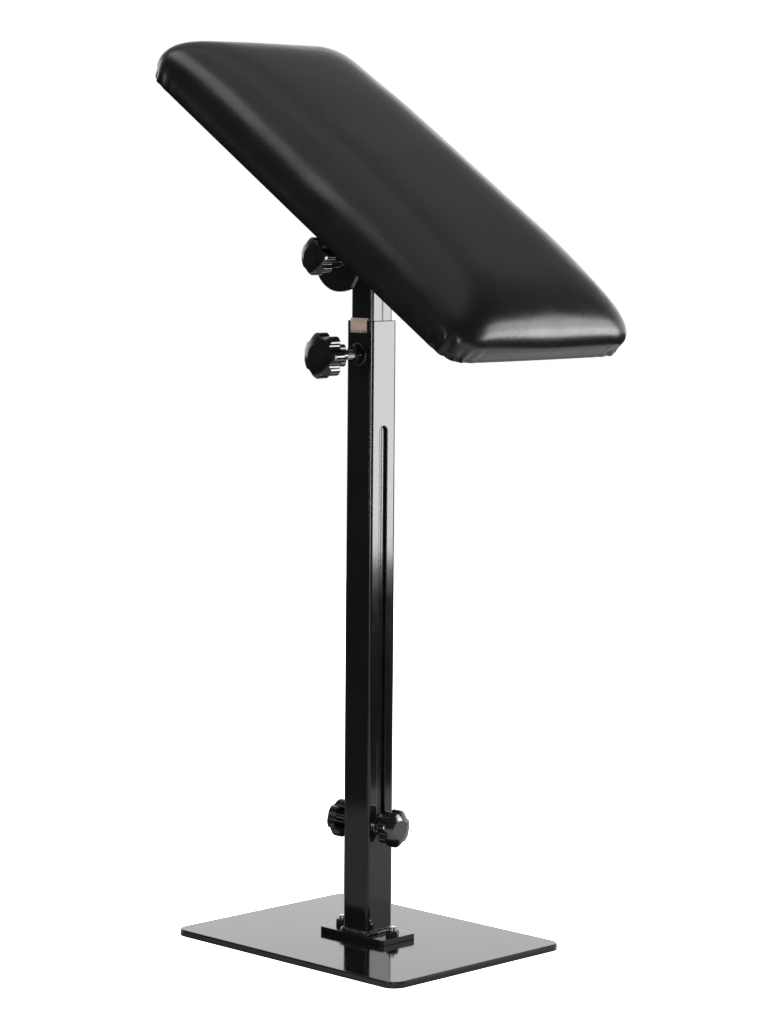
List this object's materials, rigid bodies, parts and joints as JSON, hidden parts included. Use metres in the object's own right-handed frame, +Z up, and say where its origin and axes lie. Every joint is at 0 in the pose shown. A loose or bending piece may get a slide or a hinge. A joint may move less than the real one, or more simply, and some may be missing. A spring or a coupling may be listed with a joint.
{
  "type": "tattoo arm rest stand",
  "caption": "Height-adjustable stand with a tilting padded arm rest on a slotted square column, clamped by star knobs, on a flat steel base.",
  "frame": {"origin": "centre of the base plate's underside, on the floor", "axes": "+Z up; +X along the base's long side, toward the low end of the pad; the set screw and the pad's clamp knob face -Y; the slots are in the X faces of the column"},
  "size_m": [0.3688, 0.2213, 0.7626],
  "materials": {
    "black_paint": "gloss black paint",
    "weld_paint": "gloss black paint over a weld bead",
    "zinc_steel": "bright zinc plate",
    "black_steel": "black oxide",
    "knob_plastic": "satin black",
    "cap_plastic": "gloss black",
    "insert_brass": "turned",
    "shim_strip": "beige sheet",
    "leatherette": "satin black leatherette",
    "back_vinyl": "slate grey vinyl",
    "plywood": "raw",
    "foam": "open foam",
    "staple_wire": "bright"
  },
  "bodies": {
    "base": {"base_plate": "black_paint", "foot_flange": "black_paint", "foot_bolts": "zinc_steel", "foot_nuts": "black_steel", "foot_weld": "weld_paint", "outer_tube": "black_paint", "set_nut": "black_paint", "set_nut_weld": "weld_paint", "clamp_shim": "shim_strip"},
    "mast": {"mast_tube": "black_paint", "mast_cap": "cap_plastic", "mast_disc": "black_paint", "disc_weld": "weld_paint", "pivot_stud": "zinc_steel", "height_stud": "zinc_steel", "stud_spacer": "zinc_steel"},
    "pad": {"pad_bracket": "black_paint", "bracket_disc": "black_paint", "bracket_screws": "zinc_steel", "tee_nuts": "zinc_steel", "pad_board": "plywood", "pad_foam": "foam", "pad_cover": "leatherette", "pad_back": "back_vinyl", "pad_staples": "staple_wire"},
    "set_screw": {"set_screw": "zinc_steel"},
    "set_knob": {"set_knob": "knob_plastic"},
    "pivot_washer": {"pivot_washer": "zinc_steel"},
    "pivot_knob": {"pivot_knob": "knob_plastic", "pivot_insert": "insert_brass"},
    "washer_low": {"height_washer_low": "zinc_steel"},
    "knob_low": {"height_knob_low": "knob_plastic", "height_insert_low": "insert_brass"},
    "washer_high": {"height_washer_high": "zinc_steel"},
    "knob_high": {"height_knob_high": "knob_plastic", "height_insert_high": "insert_brass"}
  },
  "joints": [
    {"name": "height_slide", "type": "slide", "parent": "base", "child": "mast", "axis": [0, 0, 1], "range_m": [0, 0.335]},
    {"name": "pad_tilt", "type": "hinge", "parent": "mast", "child": "pad", "pos_m": [0, 0, 0.584], "axis": [0, 1, 0], "range_deg": [-118, 52]},
    {"name": "set_screw_travel", "type": "slide", "parent": "base", "child": "set_screw", "axis": [0, -1, 0], "range_m": [0, 0.0025]},
    {"name": "set_screw_turn", "type": "hinge", "parent": "set_screw", "child": "set_knob", "pos_m": [0, 0, 0.502], "axis": [0, -1, 0], "range_deg": [0, 721]},
    {"name": "pivot_clamp_travel", "type": "slide", "parent": "mast", "child": "pivot_washer", "axis": [0, -1, 0], "range_m": [0, 0.0025]},
    {"name": "pivot_clamp_turn", "type": "hinge", "parent": "pivot_washer", "child": "pivot_knob", "pos_m": [0, 0, 0.584], "axis": [0, -1, 0], "range_deg": [0, 721]},
    {"name": "low_side_clamp_travel", "type": "slide", "parent": "mast", "child": "washer_low", "axis": [1, 0, 0], "range_m": [0, 0.0025]},
    {"name": "low_side_clamp_turn", "type": "hinge", "parent": "washer_low", "child": "knob_low", "pos_m": [0, 0, 0.1025], "axis": [1, 0, 0], "range_deg": [0, 721]},
    {"name": "high_side_clamp_travel", "type": "slide", "parent": "mast", "child": "washer_high", "axis": [-1, 0, 0], "range_m": [0, 0.0025]},
    {"name": "high_side_clamp_turn", "type": "hinge", "parent": "washer_high", "child": "knob_high", "pos_m": [0, 0, 0.1025], "axis": [-1, 0, 0], "range_deg": [0, 721]}
  ],
  "couplings": [
    {"joint": "set_screw_turn", "follows": "set_screw_travel", "rad_per_m": 5026.5},
    {"joint": "pivot_clamp_turn", "follows": "pivot_clamp_travel", "rad_per_m": 5026.5},
    {"joint": "low_side_clamp_turn", "follows": "low_side_clamp_travel", "rad_per_m": 5026.5},
    {"joint": "high_side_clamp_turn", "follows": "high_side_clamp_travel", "rad_per_m": 5026.5}
  ]
}
